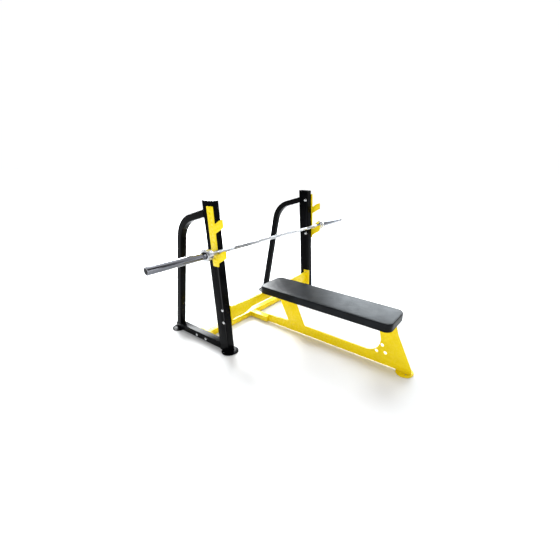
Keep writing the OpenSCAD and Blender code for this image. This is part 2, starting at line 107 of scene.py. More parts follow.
class Paint:
    """One Principled material and the few node calls that its pattern needs."""

    def __init__(self, name, colour, rough, **values):
        self.mat = bpy.data.materials.new(name)
        self.mat.use_nodes = True
        self.tree = self.mat.node_tree
        self.shader = next(n for n in self.tree.nodes if n.type == "BSDF_PRINCIPLED")
        self.shader.inputs["Base Color"].default_value = (*colour, 1)
        self.shader.inputs["Roughness"].default_value = rough
        for key, value in values.items():
            self.shader.inputs[key.replace("_", " ")].default_value = value
        self.place = self.node("ShaderNodeTexCoord").outputs["Object"]

    def node(self, kind, **settings):
        made = self.tree.nodes.new(kind)
        for key, value in settings.items():
            setattr(made, key, value)
        return made

    def feed(self, socket, value):
        if isinstance(value, bpy.types.NodeSocket):
            self.tree.links.new(value, socket)
        else:
            socket.default_value = value

    def maths(self, operation, *values, clamp=False):
        made = self.node("ShaderNodeMath", operation=operation, use_clamp=clamp)
        for socket, value in zip(made.inputs, values):
            self.feed(socket, value)
        return made.outputs[0]

    def scaled(self, scale):
        made = self.node("ShaderNodeMapping")
        made.inputs["Scale"].default_value = scale
        self.feed(made.inputs["Vector"], self.place)
        return made.outputs[0]

    def split(self):
        made = self.node("ShaderNodeSeparateXYZ")
        self.feed(made.inputs[0], self.place)
        return made.outputs

    def noise(self, scale, detail=3.0, rough=0.5, place=None):
        made = self.node("ShaderNodeTexNoise")
        made.inputs["Scale"].default_value = scale
        made.inputs["Detail"].default_value = detail
        made.inputs["Roughness"].default_value = rough
        self.feed(made.inputs["Vector"], place or self.place)
        return made.outputs["Fac"]

    def cells(self, scale, feature="F1", place=None):
        made = self.node("ShaderNodeTexVoronoi", feature=feature)
        made.inputs["Scale"].default_value = scale
        self.feed(made.inputs["Vector"], place or self.place)
        return made.outputs["Distance"]

    def between(self, value, low, high, out_low=0.0, out_high=1.0):
        made = self.node("ShaderNodeMapRange", clamp=True)
        for socket, v in zip(made.inputs, (value, low, high, out_low, out_high)):
            self.feed(socket, v)
        return made.outputs[0]

    def mix(self, share, first, second):
        made = self.node("ShaderNodeMix", data_type="RGBA")
        for name, value in (("Factor", share), ("A", first), ("B", second)):
            socket = next(s for s in made.inputs if s.name == name and s.enabled)
            self.feed(socket, (*value, 1) if isinstance(value, tuple) else value)
        return next(s for s in made.outputs if s.enabled)

    def colour(self, value):
        self.feed(self.shader.inputs["Base Color"], value)

    def roughness(self, value):
        self.feed(self.shader.inputs["Roughness"], value)

    def bump(self, height, depth, strength=1.0):
        made = self.node("ShaderNodeBump")
        made.inputs["Strength"].default_value = strength
        made.inputs["Distance"].default_value = depth
        self.feed(made.inputs["Height"], height)
        self.feed(self.shader.inputs["Normal"], made.outputs[0])


def powder_coat(name, colour, deep, rough, specular, worn=False):
    """Gloss powder coat: fine orange peel, faint clouding, and steel showing where the bar has rubbed."""
    p = Paint(name, colour, rough, Specular_IOR_Level=specular)
    peel = p.noise(420, 2, 0.45)
    cloud = p.noise(9, 4, 0.6)
    dust = p.noise(55, 5, 0.65)
    shade = p.mix(p.between(cloud, 0.35, 0.7), colour, deep)
    gloss = p.between(dust, 0.3, 0.75, rough * 0.8, rough * 1.35)
    if worn:
        _, y, z = p.split()
        reach = p.maths("SQRT", p.maths("ADD", p.maths("POWER", p.maths("SUBTRACT", y, BAR_Y), 2.0),
                                        p.maths("POWER", p.maths("SUBTRACT", z, BAR_Z), 2.0)))
        edge = p.between(p.noise(260, 5, 0.7), 0.3, 0.7, -RUB_RAGGED, RUB_RAGGED)
        rubbed = p.between(p.maths("ADD", reach, edge), RUB_FULL, RUB_END, 1.0, 0.0)
        shade = p.mix(rubbed, shade, (0.33, 0.32, 0.3))
        gloss = p.maths("ADD", gloss, p.maths("MULTIPLY", rubbed, 0.12))
    p.colour(shade)
    p.roughness(gloss)
    p.bump(peel, 0.12 * MM, 0.35)
    return p.mat


def chrome(name, metal, knurled=False):
    """Hard chrome: fine turning marks round the axis, and the knurl's diamonds on the grip, with painted shade
    darkening the knurl's valleys.
    """
    p = Paint(name, metal, 0.2, Metallic=1.0)
    turning = p.noise(1.0, 4, 0.6, p.scaled((1600, 6, 6)))
    smudge = p.noise(24, 4, 0.6)
    gloss = p.between(smudge, 0.3, 0.75, 0.14, 0.26)
    height = p.maths("MULTIPLY", turning, 0.12)
    if knurled:
        x, y, z = p.split()
        far = p.maths("ABSOLUTE", x)
        angle = p.maths("ARCTAN2", p.maths("SUBTRACT", z, BAR_Z), p.maths("SUBTRACT", y, BAR_Y))
        around = p.maths("MULTIPLY", angle, KNURL_AROUND)
        along = p.maths("MULTIPLY", x, KNURL_ALONG)
        one = p.maths("SINE", p.maths("ADD", along, around))
        two = p.maths("SINE", p.maths("SUBTRACT", along, around))
        diamonds = p.maths("MINIMUM", one, two)
        middle = p.maths("LESS_THAN", far, KNURL_MIDDLE)
        inner = p.maths("GREATER_THAN", far, KNURL_START)
        outer = p.maths("LESS_THAN", far, KNURL_END)
        ring = p.maths("GREATER_THAN", p.maths("ABSOLUTE", p.maths("SUBTRACT", far, RING_MARK)), 3 * MM)
        hand = p.maths("MULTIPLY", p.maths("MULTIPLY", inner, outer), ring)
        cut = p.maths("MAXIMUM", middle, hand)
        height = p.maths("ADD", height, p.maths("MULTIPLY", p.maths("MULTIPLY", diamonds, cut), 0.5))
        gloss = p.maths("ADD", gloss, p.maths("MULTIPLY", cut, 0.08))
        # Painted shade: the knurl's valleys are coloured darker, as the shade that falls in them.
        shade = p.mix(p.maths("MULTIPLY", cut, p.between(diamonds, -0.9, 0.2, 0.55, 0.0)),
                      metal, tuple(c * 0.45 for c in metal))
        p.colour(shade)
    p.roughness(gloss)
    p.bump(height, 0.3 * MM, 0.5)
    return p.mat


def zinc(name, colour, rough):
    """Zinc-plated steel with brushed streaks and faint spangle."""
    p = Paint(name, colour, rough, Metallic=1.0)
    grain = p.noise(900, 3, 0.6)
    patches = p.cells(260)
    p.colour(p.mix(p.between(patches, 0.1, 0.9), colour, tuple(c * 0.72 for c in colour)))
    p.roughness(p.between(grain, 0.3, 0.7, rough * 0.8, rough * 1.3))
    p.bump(grain, 0.05 * MM, 0.4)
    return p.mat


def rubber(name):
    """Matt black rubber with a coarse grain."""
    p = Paint(name, (0.02, 0.02, 0.021), 0.75, Specular_IOR_Level=0.3)
    grain = p.noise(1300, 3, 0.7)
    p.colour(p.mix(p.noise(30, 4, 0.6), (0.014, 0.014, 0.015), (0.035, 0.034, 0.033)))
    p.roughness(p.between(grain, 0.3, 0.7, 0.65, 0.85))
    p.bump(grain, 0.15 * MM, 0.6)
    return p.mat


def moulded(name, colour):
    """Moulded plastic with a fine spark-eroded texture."""
    p = Paint(name, colour, 0.42, Specular_IOR_Level=0.03)
    texture = p.noise(2200, 2, 0.5)
    p.colour(p.mix(p.noise(40, 3, 0.5), colour, tuple(c * 1.5 for c in colour)))
    p.roughness(p.between(texture, 0.3, 0.7, 0.36, 0.5))
    p.bump(texture, 0.06 * MM, 0.5)
    return p.mat


def vinyl(name):
    """Upholstery vinyl: pebbled grain of small cells with soft creases, satin sheen, and painted shade in the
    creases with painted light on their rises.
    """
    p = Paint(name, VINYL, 0.34, Specular_IOR_Level=0.1)
    pebbles = p.cells(620, "SMOOTH_F1")
    fine = p.noise(1500, 3, 0.6)
    folds = p.noise(7, 3, 0.5)
    shaded_vinyl = tuple(c * 0.8 for c in VINYL)
    lit_vinyl = tuple(c * 1.4 for c in VINYL)
    # Painted shade and light: the colour is darker where the folds sink and lighter where they rise.
    p.colour(p.mix(p.between(folds, 0.35, 0.65), shaded_vinyl, lit_vinyl))
    p.roughness(p.between(p.noise(14, 4, 0.6), 0.3, 0.7, 0.3, 0.4))
    grain = p.maths("ADD", p.maths("MULTIPLY", pebbles, 0.8), p.maths("MULTIPLY", fine, 0.25))
    p.bump(p.maths("ADD", grain, p.maths("MULTIPLY", folds, 1.5)), 0.25 * MM, 0.45)
    return p.mat


def thread(name):
    """Dark sewing thread with twisted strands, painted lighter on the strands' crowns and darker between them as
    painted light and shade.
    """
    p = Paint(name, (0.02, 0.021, 0.024), 0.55)
    strands = p.noise(1.0, 2, 0.5, p.scaled((2600, 900, 2600)))
    # Painted light and shade: the strands that raise the bump also make the colour lighter on their crowns and
    # darker between them.
    p.colour(p.mix(strands, (0.012, 0.012, 0.014), (0.04, 0.042, 0.046)))
    p.bump(strands, 0.1 * MM, 0.6)
    return p.mat


def plywood(name):
    """Birch ply: long grain on the faces, thin plies on the edge."""
    p = Paint(name, (0.5, 0.36, 0.21), 0.6)
    grain = p.noise(1.0, 5, 0.6, p.scaled((160, 6, 60)))
    _, _, z = p.split()
    plies = p.maths("SINE", p.maths("MULTIPLY", z, 2 * math.pi / (3 * MM)))
    wood = p.mix(p.between(grain, 0.3, 0.7), (0.56, 0.42, 0.25), (0.36, 0.24, 0.13))
    p.colour(p.mix(p.between(plies, 0.1, 0.9, 0.0, 0.35), wood, (0.24, 0.15, 0.08)))
    p.roughness(p.between(grain, 0.3, 0.7, 0.5, 0.7))
    p.bump(grain, 0.2 * MM, 0.5)
    return p.mat


def bronze(name):
    """Sintered bronze with fine dark pores."""
    p = Paint(name, (0.52, 0.33, 0.16), 0.35, Metallic=1.0)
    pores = p.noise(2600, 3, 0.7)
    p.colour(p.mix(p.between(pores, 0.35, 0.6), (0.3, 0.18, 0.08), (0.58, 0.38, 0.19)))
    p.roughness(p.between(pores, 0.3, 0.7, 0.28, 0.45))
    p.bump(pores, 0.06 * MM, 0.5)
    return p.mat


def floor_finish(name):
    """Pale matt studio floor that glows away from the object, so that it meets the backdrop."""
    p = Paint(name, (0.86, 0.86, 0.86), 0.75, Specular_IOR_Level=0.2, Emission_Color=(1, 1, 1, 1))
    p.colour(p.mix(p.noise(1.3, 4, 0.6), (0.86, 0.86, 0.86), (0.83, 0.83, 0.835)))
    x, y, _ = p.split()
    reach = p.maths("SQRT", p.maths("ADD", p.maths("POWER", x, 2.0), p.maths("POWER", y, 2.0)))
    p.feed(p.shader.inputs["Emission Strength"], p.between(reach, 1.5, 6.0, 0.0, 0.6))
    return p.mat


MATERIALS = {
    "black_paint": powder_coat("black_powder_coat", BLACK, BLACK_DEEP, 0.22, 0.035),
    "yellow_paint": powder_coat("yellow_powder_coat", YELLOW, YELLOW_DEEP, 0.26, 0.2, worn=True),
    "chrome": chrome("hard_chrome", CHROME),
    "zinc_steel": zinc("bright_zinc", (0.72, 0.73, 0.74), 0.24),
    "rubber": rubber("foot_rubber"),
    "black_plastic": moulded("cap_plastic", (0.012, 0.012, 0.013)),
    "dark_plastic": moulded("end_cap_plastic", (0.03, 0.03, 0.033)),
    "board": plywood("birch_ply"),
    "black_vinyl": vinyl("upholstery_vinyl"),
    "bronze": bronze("sintered_bronze"),
}
KNURLED = chrome("knurled_chrome", CHROME, knurled=True)
# Darker chrome for the sleeves: painted shade for the dark reflections along their lower side.
DARK_CHROME = chrome("shaded_sleeve_chrome", SLEEVE_SHADED_CHROME)
THREAD = thread("seam_thread")
SPECIAL = {"left_sleeve": DARK_CHROME, "right_sleeve": DARK_CHROME}
SLOT_OF = {part["node"]: part["material_slot"] for part in frame["record"]["subparts"]}
BODY_OF = {n: body for body, names in frame["record"]["behaviour"]["bodies"].items() for n in names}


# ---------------------------------------------------------------- mesh helpers

def piece(name, bm, body, slot, material=None, flat_angle=35):
    """Turns a bmesh into a finished piece that rides on a body."""
    bmesh.ops.recalc_face_normals(bm, faces=bm.faces)
    mesh = bpy.data.meshes.new(name)
    bm.to_mesh(mesh)
    bm.free()
    made = bpy.data.objects.new(name, mesh)
    SCENE.collection.objects.link(made)
    mesh.materials.append(material or MATERIALS[slot])
    mesh.polygons.foreach_set("use_smooth", [True] * len(mesh.polygons))
    mesh.set_sharp_from_angle(angle=math.radians(flat_angle))
    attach(made, body)
    return made


def cad_mesh(node):
    """The CAD node's mesh with its seams joined and its flat faces in one piece each."""
    bm = bmesh.new()
    bm.from_mesh(frame["nodes"][node].data)
    bmesh.ops.remove_doubles(bm, verts=bm.verts, dist=0.002 * MM)
    bmesh.ops.dissolve_limit(bm, angle_limit=math.radians(0.5), verts=bm.verts, edges=bm.edges)
    return bm


def eased(node, width, segments=2, sharp=35):
    """Stands for a CAD node: the same solid with its sharp edges eased as a real part's are."""
    bm = cad_mesh(node)
    limit = math.radians(sharp)
    edges = [e for e in bm.edges if len(e.link_faces) == 2 and e.calc_face_angle(0) > limit]
    bmesh.ops.bevel(bm, geom=edges, offset=width, segments=segments, profile=0.5,
                    affect="EDGES", clamp_overlap=True)
    slot = SLOT_OF[node]
    made = piece(node + "_finished", bm, BODY_OF[node], slot, SPECIAL.get(node))
    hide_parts(node)
    return made


def loft(bm, rings, closed=False, cap=True):
    """Skins rings of equal length, each a closed loop of points."""
    loops = [[bm.verts.new(p) for p in ring] for ring in rings]
    pairs = list(zip(loops, loops[1:])) + ([(loops[-1], loops[0])] if closed else [])
    for a, b in pairs:
        for i in range(len(a)):
            j = (i + 1) % len(a)
            bm.faces.new((a[i], a[j], b[j], b[i]))
    if cap and not closed:
        bm.faces.new(list(reversed(loops[0])))
        bm.faces.new(loops[-1])
    return loops


def rounded_rect(width, height, radius, steps=5):
    """Points of a rectangle with round corners, centred on the origin."""
    points = []
    for corner in range(4):
        sx, sy = ((1, 1), (-1, 1), (-1, -1), (1, -1))[corner]
        for i in range(steps + 1):
            a = math.radians(90 * (corner + i / steps))
            points.append(((width / 2 - radius) * sx + radius * math.cos(a),
                           (height / 2 - radius) * sy + radius * math.sin(a)))
    return points


def lathe(bm, profile, sides=96):
    """Turns (x, r) points round the barbell's axis."""
    rings = []
    for x, r in profile:
        rings.append([Vector((x, BAR_Y + r * math.cos(2 * math.pi * i / sides),
                              BAR_Z + r * math.sin(2 * math.pi * i / sides))) for i in range(sides)])
    loft(bm, rings)


def trim(bm, point, normal):
    """Cuts away what lies past a plane and closes the cut."""
    geom = bm.verts[:] + bm.edges[:] + bm.faces[:]
    cut = bmesh.ops.bisect_plane(bm, geom=geom, plane_co=point, plane_no=normal, clear_outer=True)
    edges = [e for e in cut["geom_cut"] if isinstance(e, bmesh.types.BMEdge)]
    bmesh.ops.edgeloop_fill(bm, edges=edges)


# ---------------------------------------------------------------- bent braces

def brace_route():
    """Points (y, z) and directions of the brace's centre line, from the upright down to the rail."""
    half = (math.pi / 2 - BRACE_ARM_DROP - BRACE_LEG_LEAN) / 2
    middle = BRACE_LEG_LEAN + half
    centre = BRACE_KNEE - BRACE_RADIUS / math.cos(half) * Vector((math.cos(middle), math.sin(middle)))
    route = []
    steps = 40
    for i in range(steps + 1):
        a = middle + half - 2 * half * i / steps
        out = Vector((math.cos(a), math.sin(a)))
        route.append((centre + BRACE_RADIUS * out, out))
    first, last = route[0], route[-1]
    arm = Vector((-first[1].y, first[1].x))
    leg = Vector((last[1].y, -last[1].x))
    return [(first[0] + 0.4 * arm, first[1])] + route + [(last[0] + 1.1 * leg, last[1])]


def brace(side):
    """One rear brace, a square tube swept along its bend and cut at the rail and the upright."""
    node = side + "_rear_tube"
    low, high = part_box(node)
    width = high.x - low.x
    middle = (high.x + low.x) / 2
    section = rounded_rect(width, BRACE_DEPTH, TUBE_CORNER)
    bm = bmesh.new()
    loft(bm, [[Vector((middle + u, at.x + v * out.x, at.y + v * out.y)) for u, v in section]
              for at, out in brace_route()])
    trim(bm, Vector((0, 0, low.z)), Vector((0, 0, -1)))
    back = Vector((0, UPRIGHT_FOOT_Y + UPRIGHT_DEPTH / math.cos(UPRIGHT_LEAN), 0))
    trim(bm, back, Vector((0, -math.cos(UPRIGHT_LEAN), math.sin(UPRIGHT_LEAN))))
    made = piece(side + "_brace", bm, FRAME, SLOT_OF[node])
    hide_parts(node)


# ---------------------------------------------------------------- weld beads

WELD_RADIUS = 2.6 * MM
WELD_PITCH = 3.2 * MM


def bead(bm, route, radius, closed=False):
    """Adds a weld bead along a route of (point, outward) pairs, rippled where each drop froze."""
    pitch = WELD_PITCH
    samples = []
    links = list(zip(route, route[1:])) + ([(route[-1], route[0])] if closed else [])
    travelled = 0.0
    for (a, na), (b, nb) in links:
        length = (b - a).length
        count = max(1, round(length / (pitch / 4)))
        for i in range(count):
            t = i / count
            samples.append((a.lerp(b, t), na.lerp(nb, t).normalized(), travelled + length * t))
        travelled += length
    if not closed:
        samples.append((route[-1][0], route[-1][1], travelled))
    rings = []
    last = len(samples) - 1
    for i, (at, out, run) in enumerate(samples):
        before = samples[i - 1][0] if i or closed else at
        after = samples[(i + 1) % (last + 1)][0] if i < last or closed else at
        along = (after - before).normalized()
        across = along.cross(out).normalized()
        phase = (run / pitch) % 1.0
        swell = radius * (0.86 + 0.2 * math.sqrt(max(0.0, 1 - (2 * phase - 1) ** 2)))
        if not closed:
            swell *= min(1.0, 0.35 + 0.65 * min(run, travelled - run) / (2 * radius))
        rings.append([at + swell * (math.cos(a) * out + math.sin(a) * across)
                      for a in (math.radians(45 * k) for k in range(8))])
    loft(bm, rings, closed=closed)


def loop_route(centre, u, v, width, height, radius, steps=4):
    """Route round a tube's rounded outline, spanned by unit directions u and v."""
    return [(centre + u * x + v * y, (u * x / (width / 2) + v * y / (height / 2)).normalized())
            for x, y in rounded_rect(width, height, radius, steps)]


def weld_beads():
    """Beads where the tubes, feet, plates and brackets meet."""
    x_axis, y_axis, z_axis = Vector((1, 0, 0)), Vector((0, 1, 0)), Vector((0, 0, 1))
    radius = WELD_RADIUS
    lean = math.tan(UPRIGHT_LEAN)
    for side in ("left", "right"):
        rail_low, rail_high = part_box(side + "_base_rail")
        rear_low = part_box(side + "_rear_foot")[0]
        brace_low, brace_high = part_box(side + "_rear_tube")
        tube_x = (rail_low.x + rail_high.x) / 2
        width = rail_high.x - rail_low.x
        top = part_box(side + "_front_foot")[1].z
        back_y = UPRIGHT_FOOT_Y + UPRIGHT_DEPTH / math.cos(UPRIGHT_LEAN)
        up = Vector((0, lean, 1)).normalized()
        bm = bmesh.new()
        foot_centre = Vector((tube_x, (UPRIGHT_FOOT_Y + back_y) / 2 + top * lean, top))
        bead(bm, loop_route(foot_centre, x_axis, y_axis, width, back_y - UPRIGHT_FOOT_Y, TUBE_CORNER),
             radius, closed=True)
        rail_z = (rail_low.z + rail_high.z) / 2
        rail_joint = Vector((tube_x, back_y + rail_z * lean, rail_z))
        bead(bm, loop_route(rail_joint, x_axis, up, width, rail_high.z - rail_low.z, TUBE_CORNER),
             radius, closed=True)
        brace_x = (brace_low.x + brace_high.x) / 2
        brace_width = brace_high.x - brace_low.x
        leg_depth = BRACE_DEPTH / math.cos(BRACE_LEG_LEAN)
        leg_y = brace_high.y - leg_depth / 2
        bead(bm, loop_route(Vector((brace_x, leg_y, brace_low.z)), x_axis, y_axis, brace_width, leg_depth,
                            TUBE_CORNER), radius, closed=True)
        arm_depth = BRACE_DEPTH / math.cos(BRACE_ARM_DROP)
        arm_z = brace_high.z - arm_depth / 2
        arm_joint = Vector((brace_x, back_y + arm_z * lean, arm_z))
        bead(bm, loop_route(arm_joint, x_axis, up, brace_width, arm_depth, TUBE_CORNER), radius, closed=True)
        for x, out in ((rail_low.x, -x_axis), (rail_high.x, x_axis)):
            start, end = rear_low.y + 8 * MM, rail_high.y - 2 * MM
            bead(bm, [(Vector((x, start, top)), out), (Vector((x, end, top)), out)], radius)
        piece(side + "_frame_welds", bm, FRAME, "black_paint", flat_angle=80)

    bm = bmesh.new()
    beam_low, beam_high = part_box("upper_beam")
    cross_low, cross_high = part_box("lower_cross_tube")
    socket_low, socket_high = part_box("spine_socket")
    plate_low, plate_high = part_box("bench_plate")
    for sign in (-1, 1):
        end = Vector((sign * beam_high.x, (beam_low.y + beam_high.y) / 2, (beam_low.z + beam_high.z) / 2))
        bead(bm, loop_route(end, y_axis, z_axis, beam_high.y - beam_low.y, beam_high.z - beam_low.z,
                            1 * MM, 2), radius, closed=True)
        end = Vector((sign * cross_high.x, (cross_low.y + cross_high.y) / 2,
                      (cross_low.z + cross_high.z) / 2))
        bead(bm, loop_route(end, y_axis, z_axis, cross_high.y - cross_low.y,
                            cross_high.z - cross_low.z, TUBE_CORNER), radius, closed=True)
    joint = Vector((0, cross_low.y, (socket_low.z + socket_high.z) / 2))
    bead(bm, loop_route(joint, x_axis, z_axis, socket_high.x - socket_low.x,
                        socket_high.z - socket_low.z, TUBE_CORNER), radius, closed=True)
    half = plate_high.x
    for sign in (-1, 1):
        out = sign * x_axis
        x = sign * half
        spots = [(Vector((x, plate_high.y, socket_low.z + 3 * MM)),
                  Vector((x, plate_high.y, socket_high.z - 3 * MM)))]
        for node in ("rear_pad_bracket", "front_pad_bracket"):
            low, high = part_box(node)
            spots.append((Vector((x, low.y + 6 * MM, low.z)), Vector((x, high.y - 6 * MM, low.z))))
        low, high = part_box("bench_foot")
        spots.append((Vector((x, plate_low.y + 3 * MM, high.z)), Vector((x, high.y - 6 * MM, high.z))))
        for a, b in spots:
            bead(bm, [(a, out), (b, out)], radius)
    piece("bench_welds", bm, FRAME, "yellow_paint", flat_angle=80)


# ---------------------------------------------------------------- barbell

def bar_profile():
    """Half profile of the shaft from its middle outwards, with the ring marks cut in."""
    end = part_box("bar_shaft")[1].x
    grip = 14 * MM
    spigot = 12 * MM
    grip_end = 655 * MM
    cut = 0.35 * MM
    profile = []
    narrow = 2.5 * MM
    grooves = ((KNURL_MIDDLE, narrow), (KNURL_START, narrow), (RING_MARK, 2 * narrow), (KNURL_END, narrow))
    for at, width in grooves:
        for offset, depth in ((-0.5, 0), (-0.35, cut), (0.35, cut), (0.5, 0)):
            profile.append((at + offset * width, grip - depth))
    profile += [
        (grip_end - 0.6 * MM, grip),
        (grip_end, grip - 0.6 * MM),
        (grip_end, spigot),
        (end - 9.9 * MM, spigot),
        (end - 1 * MM, spigot),
        (end, spigot - 1 * MM),
    ]
    return profile


def shaft():
    """The shaft, turned from its half profile and the mirror of it."""
    right = bar_profile()
    left = [(-x, r) for x, r in reversed(right)]
    bm = bmesh.new()
    lathe(bm, left + right)
    made = piece("knurled_shaft", bm, BARBELL, "chrome", KNURLED)
    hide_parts("bar_shaft")


# ---------------------------------------------------------------- pad

PAD_LOW, PAD_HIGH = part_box("pad_cushion")
PAD_CORNER = 55 * MM
SEAM_INSET = 6.5 * MM
WELT = 1.6 * MM
# Height over which the cushion's base is held, width of the strip held at its seam, and largest swell
HELD_BASE = 14 * MM
HELD_SEAM = 9 * MM
SWELL = 6 * MM
CROWN = 5 * MM
BASE_LIFT = 0.3 * MM
SWELL_FRAMES = 20
HEM_INSET = 24 * MM


def pad_ring(inset, z, steps=14):
    """A closed loop of the pad's plan outline, moved in by inset, at a height."""
    middle = (PAD_LOW + PAD_HIGH) / 2
    size = PAD_HIGH - PAD_LOW
    outline = rounded_rect(size.x - 2 * inset, size.y - 2 * inset, PAD_CORNER - inset, steps)
    return [Vector((middle.x + x, middle.y + y, z)) for x, y in outline]


def cushion_start():
    """The foam before it swells: a boxed cushion with a crisp top edge where the seam lies."""
    base = PAD_LOW.z
    top = PAD_HIGH.z
    section = ((3, base), (1.5, base + 12 * MM), (1, base + 32 * MM), (1, top - 9 * MM),
               (1.5, top - 4 * MM), (2.8, top - 1.4 * MM), (5.5, top))
    bm = bmesh.new()
    loft(bm, [pad_ring(inset * MM, z) for inset, z in section])
    bmesh.ops.recalc_face_normals(bm, faces=bm.faces)
    mesh = bpy.data.meshes.new("cushion")
    bm.to_mesh(mesh)
    bm.free()
    made = bpy.data.objects.new("cushion", mesh)
    SCENE.collection.objects.link(made)
    return made


def settle(obj, modifier_kind, **settings):
    """Adds a modifier, sets it up and applies it."""
    modifier = obj.modifiers.new("step", modifier_kind)
    for key, value in settings.items():
        setattr(modifier, key, value)
    bpy.context.view_layer.objects.active = obj
    with bpy.context.temp_override(object=obj, active_object=obj, selected_objects=[obj]):
        bpy.ops.object.modifier_apply(modifier=modifier.name)


def inflate(obj):
    """Blows the foam up under its vinyl with a short cloth simulation, held at its base and its seam."""
    rest = [v.co.copy() for v in obj.data.vertices]
    held = obj.vertex_groups.new(name="held")
    for v in obj.data.vertices:
        rise = (v.co.z - PAD_LOW.z) / HELD_BASE
        at_seam = v.co.z > PAD_HIGH.z - HELD_SEAM and to_outline(v.co) < HELD_SEAM
        if rise < 1:
            held.add([v.index], 1.0 - max(0.0, rise) * 0.5, "REPLACE")
        elif at_seam:
            held.add([v.index], 1.0, "REPLACE")
    cloth = obj.modifiers.new("cloth", "CLOTH")
    cloth.settings.quality = 6
    cloth.settings.mass = 0.3
    cloth.settings.tension_stiffness = 14
    cloth.settings.compression_stiffness = 14
    cloth.settings.shear_stiffness = 8
    cloth.settings.bending_stiffness = 1.5
    cloth.settings.use_pressure = True
    cloth.settings.uniform_pressure_force = 4.0
    cloth.settings.vertex_group_mass = "held"
    cloth.settings.effector_weights.gravity = 0.0
    cloth.point_cache.frame_start = 1
    cloth.point_cache.frame_end = SWELL_FRAMES
    for step in range(1, SWELL_FRAMES + 1):
        SCENE.frame_set(step)
    graph = bpy.context.evaluated_depsgraph_get()
    blown = [v.co.copy() for v in obj.evaluated_get(graph).data.vertices]
    obj.modifiers.remove(cloth)
    SCENE.frame_set(1)
    for v, was, now in zip(obj.data.vertices, rest, blown):
        move = now - was
        if move.length > SWELL:
            move *= SWELL / move.length
        v.co = was + move
        v.co.z = min(max(v.co.z, PAD_LOW.z + BASE_LIFT), PAD_HIGH.z + CROWN)
        if was.z < PAD_LOW.z + 1.5 * MM:
            v.co.z = PAD_LOW.z + BASE_LIFT


def walk(ring, step):
    """Evenly spaced points round a closed ring."""
    points = []
    for a, b in zip(ring, ring[1:] + ring[:1]):
        count = max(1, round((b - a).length / step))
        points += [a.lerp(b, i / count) for i in range(count)]
    return points


def surface_of(obj):
    """Finds the top surface of an object: returns a function from a point to (spot, normal)."""
    bm = bmesh.new()
    bm.from_mesh(obj.data)
    tree = BVHTree.FromBMesh(bm)
    bm.free()

    def drop(point):
        above = Vector((point.x, point.y, PAD_HIGH.z + 0.1))
        spot, normal, _, _ = tree.ray_cast(above, Vector((0, 0, -1)))
        return spot, normal
    return drop


def to_outline(point):
    """How far a point lies inside the pad's plan outline."""
    middle = (PAD_LOW + PAD_HIGH) / 2
    half = (PAD_HIGH - PAD_LOW) / 2
    dx = abs(point.x - middle.x) - (half.x - PAD_CORNER)
    dy = abs(point.y - middle.y) - (half.y - PAD_CORNER)
    if dx > 0 and dy > 0:
        return PAD_CORNER - math.hypot(dx, dy)
    return PAD_CORNER - max(dx, dy)


def tailor(obj):
    """Draws the cover in along its seam, and gives it the slight waves and corner pleats of taut vinyl."""
    middle = (PAD_LOW + PAD_HIGH) / 2
    half = (PAD_HIGH - PAD_LOW) / 2
    shoulder = PAD_HIGH.z - 14 * MM
    moves = []
    for v in obj.data.vertices:
        at, out = v.co, v.normal
        wave = 0.45 * MM * noise.noise(at * 14) + 0.2 * MM * noise.noise(at * 45)
        pull = 0.0
        if out.z > 0.3:
            pull = -0.8 * MM * math.exp(-((to_outline(at) - SEAM_INSET - 3 * MM) / (4 * MM)) ** 2)
        dx = abs(at.x - middle.x) - (half.x - PAD_CORNER)
        dy = abs(at.y - middle.y) - (half.y - PAD_CORNER)
        if dx > 0 and dy > 0 and at.z < shoulder:
            low = min(1.0, (shoulder - at.z) / (15 * MM))
            pull += 0.5 * MM * low * math.sin(26 * math.atan2(dy, dx))
        moves.append(out * (wave + pull))
    for v, move in zip(obj.data.vertices, moves):
        if v.co.z > PAD_LOW.z + 1 * MM:
            v.co += move


def piping(drop):
    """The welt that stands along the seam of the top panel."""
    route = [drop(p) for p in walk(pad_ring(SEAM_INSET, 0), 9 * MM)]
    bm = bmesh.new()
    rings = []
    for i, (at, out) in enumerate(route):
        along = (route[(i + 1) % len(route)][0] - route[i - 1][0]).normalized()
        across = along.cross(out).normalized()
        up = across.cross(along)
        rings.append([at + WELT * (math.cos(a) * up + math.sin(a) * across)
                      for a in (math.radians(36 * k) for k in range(10))])
    loft(bm, rings, closed=True)
    piece("pad_piping", bm, FRAME, "black_vinyl", flat_angle=80)


def stitching(drop):
    """A row of lockstitch inside the welt."""
    bm = bmesh.new()
    marks = walk(pad_ring(SEAM_INSET + 4 * MM, 0), 5 * MM)
    for a, b in zip(marks, marks[1:] + marks[:1]):
        start, out = drop(a.lerp(b, 0.12))
        end, _ = drop(a.lerp(b, 0.88))
        along = (end - start).normalized()
        across = along.cross(out).normalized()
        rings = []
        for t, size, lift in ((0, 0.25, -0.1), (0.25, 0.5, 0.2), (0.75, 0.5, 0.2), (1, 0.25, -0.1)):
            at = start.lerp(end, t) + out * lift * MM
            rings.append([at + size * MM * (math.cos(k) * out + math.sin(k) * across)
                          for k in (math.radians(72 * n) for n in range(5))])
        loft(bm, rings)
    piece("pad_stitching", bm, FRAME, "black_vinyl", THREAD, flat_angle=80)


